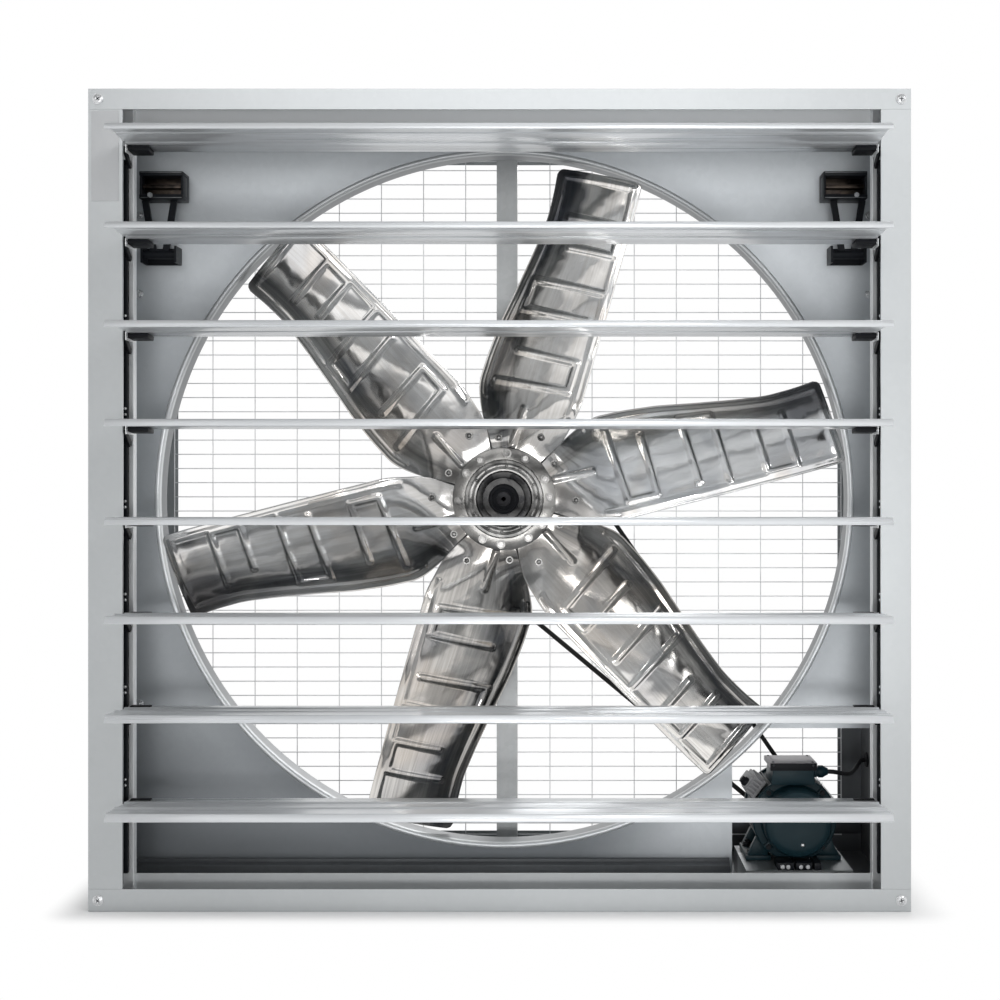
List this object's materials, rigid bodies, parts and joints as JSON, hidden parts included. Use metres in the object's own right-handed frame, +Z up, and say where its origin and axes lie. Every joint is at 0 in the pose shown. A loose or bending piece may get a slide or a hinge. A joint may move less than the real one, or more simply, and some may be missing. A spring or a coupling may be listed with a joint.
{
  "type": "exhaust fan",
  "caption": "Square galvanised wall exhaust fan: a belt-driven propeller in an air ring, a motor in the corner, a wire guard behind and a linked louvre shutter in front.",
  "frame": {"origin": "centre of the casing's bottom face", "axes": "+Z up, +Y along the shaft from the shutter to the rear guard, +X to the right seen from the shutter"},
  "size_m": [1.38, 0.5193, 1.38],
  "materials": {
    "galvanised": "galvanised sheet, satin, faint spangle",
    "galvanised_inner": "galvanised sheet inside the casing, duller",
    "zinc_steel": "bright zinc plate",
    "louvre_aluminium": "drawn sheet, satin, lengthwise sheen",
    "black_steel": "black, satin",
    "blade_steel": "mirror-polished stainless sheet, pressed",
    "hub_steel": "turned, bright",
    "axle_steel": "turned, dark",
    "pulley_iron": "cast, machined groove",
    "belt_rubber": "matt black",
    "motor_paint": "dark teal enamel, satin",
    "lid_grey": "light grey, satin",
    "stator": "laminations and copper windings",
    "black_plastic": "moulded, black",
    "lead_rubber": "round black lead"
  },
  "bodies": {
    "casing": {"top_panel": "galvanised", "bottom_panel": "galvanised", "left_panel": "galvanised", "right_panel": "galvanised", "corner_screw_1": "zinc_steel", "corner_screw_2": "zinc_steel", "corner_screw_3": "zinc_steel", "corner_screw_4": "zinc_steel", "bulkhead_panel": "galvanised_inner", "venturi_ring": "galvanised", "rear_guard": "galvanised", "rear_post": "galvanised", "fan_axle": "axle_steel", "axle_nut": "zinc_steel", "left_shutter_strip": "galvanised", "right_shutter_strip": "galvanised", "shutter_top_rail": "galvanised", "shutter_bottom_rail": "galvanised", "left_lever_bracket": "black_steel", "right_lever_bracket": "black_steel", "motor_base": "galvanised", "motor_housing": "motor_paint", "motor_front_shield": "motor_paint", "motor_rear_shield": "motor_paint", "motor_stator": "stator", "terminal_box": "motor_paint", "terminal_lid": "lid_grey", "capacitor_cover": "lid_grey", "rating_plate": "zinc_steel", "cable_gland": "black_plastic", "motor_lead": "lead_rubber", "wall_grommet": "black_plastic", "drive_belt": "belt_rubber"},
    "propeller": {"fan_hub": "hub_steel", "front_bearing": "black_steel", "rear_bearing": "black_steel", "driven_pulley": "pulley_iron", "fan_blade_1": "blade_steel", "fan_blade_2": "blade_steel", "fan_blade_3": "blade_steel", "fan_blade_4": "blade_steel", "fan_blade_5": "blade_steel", "fan_blade_6": "blade_steel"},
    "motor_rotor": {"motor_shaft": "axle_steel", "motor_pulley": "pulley_iron"},
    "left_link": {"left_link_rod": "black_steel"},
    "right_link": {"right_link_rod": "black_steel"},
    "left_balance": {"left_weight_lever": "black_steel", "left_weight": "black_steel"},
    "right_balance": {"right_weight_lever": "black_steel", "right_weight": "black_steel"},
    "louvre_1": {"louvre_1": "louvre_aluminium"},
    "louvre_2": {"louvre_2": "louvre_aluminium"},
    "louvre_3": {"louvre_3": "louvre_aluminium"},
    "louvre_4": {"louvre_4": "louvre_aluminium"},
    "louvre_5": {"louvre_5": "louvre_aluminium"},
    "louvre_6": {"louvre_6": "louvre_aluminium"},
    "louvre_7": {"louvre_7": "louvre_aluminium"},
    "louvre_8": {"louvre_8": "louvre_aluminium"}
  },
  "joints": [
    {"name": "propeller_spin", "type": "hinge", "parent": "casing", "child": "propeller", "pos_m": [0, 0, 0.69], "axis": [0, 1, 0], "continuous": true},
    {"name": "motor_spin", "type": "hinge", "parent": "casing", "child": "motor_rotor", "pos_m": [0.518, 0, 0.123], "axis": [0, 1, 0], "continuous": true},
    {"name": "louvre_1_hinge", "type": "hinge", "parent": "casing", "child": "louvre_1", "pos_m": [0.0035, -0.185, 1.2822], "axis": [1, 0, 0], "range_deg": [0, 88]},
    {"name": "louvre_2_hinge", "type": "hinge", "parent": "casing", "child": "louvre_2", "pos_m": [0.0035, -0.185, 1.124], "axis": [1, 0, 0], "range_deg": [0, 88]},
    {"name": "louvre_3_hinge", "type": "hinge", "parent": "casing", "child": "louvre_3", "pos_m": [0.0035, -0.185, 0.9658], "axis": [1, 0, 0], "range_deg": [0, 88]},
    {"name": "louvre_4_hinge", "type": "hinge", "parent": "casing", "child": "louvre_4", "pos_m": [0.0035, -0.185, 0.8076], "axis": [1, 0, 0], "range_deg": [0, 88]},
    {"name": "louvre_5_hinge", "type": "hinge", "parent": "casing", "child": "louvre_5", "pos_m": [0.0035, -0.185, 0.6494], "axis": [1, 0, 0], "range_deg": [0, 88]},
    {"name": "louvre_6_hinge", "type": "hinge", "parent": "casing", "child": "louvre_6", "pos_m": [0.0035, -0.185, 0.4912], "axis": [1, 0, 0], "range_deg": [0, 88]},
    {"name": "louvre_7_hinge", "type": "hinge", "parent": "casing", "child": "louvre_7", "pos_m": [0.0035, -0.185, 0.333], "axis": [1, 0, 0], "range_deg": [0, 88]},
    {"name": "louvre_8_hinge", "type": "hinge", "parent": "casing", "child": "louvre_8", "pos_m": [0.0035, -0.185, 0.1748], "axis": [1, 0, 0], "range_deg": [0, 88]},
    {"name": "left_link_pivot", "type": "hinge", "parent": "louvre_1", "child": "left_link", "pos_m": [-0.6405, -0.154, 1.2602], "axis": [1, 0, 0], "range_deg": [-88, 0]},
    {"name": "right_link_pivot", "type": "hinge", "parent": "louvre_1", "child": "right_link", "pos_m": [0.6475, -0.154, 1.2602], "axis": [1, 0, 0], "range_deg": [-88, 0]},
    {"name": "left_balance_pivot", "type": "hinge", "parent": "casing", "child": "left_balance", "pos_m": [-0.62, -0.015, 1.13], "axis": [1, 0, 0], "range_deg": [0, 32]},
    {"name": "right_balance_pivot", "type": "hinge", "parent": "casing", "child": "right_balance", "pos_m": [0.62, -0.015, 1.13], "axis": [1, 0, 0], "range_deg": [0, 32]}
  ],
  "couplings": [
    {"joint": "motor_spin", "follows": "propeller_spin", "ratio": 3.8},
    {"joint": "louvre_2_hinge", "follows": "louvre_1_hinge", "ratio": 1},
    {"joint": "louvre_3_hinge", "follows": "louvre_1_hinge", "ratio": 1},
    {"joint": "louvre_4_hinge", "follows": "louvre_1_hinge", "ratio": 1},
    {"joint": "louvre_5_hinge", "follows": "louvre_1_hinge", "ratio": 1},
    {"joint": "louvre_6_hinge", "follows": "louvre_1_hinge", "ratio": 1},
    {"joint": "louvre_7_hinge", "follows": "louvre_1_hinge", "ratio": 1},
    {"joint": "louvre_8_hinge", "follows": "louvre_1_hinge", "ratio": 1},
    {"joint": "left_link_pivot", "follows": "louvre_1_hinge", "ratio": -1},
    {"joint": "right_link_pivot", "follows": "louvre_1_hinge", "ratio": -1},
    {"joint": "left_balance_pivot", "follows": "louvre_1_hinge", "ratio": 0.36},
    {"joint": "right_balance_pivot", "follows": "louvre_1_hinge", "ratio": 0.36}
  ]
}
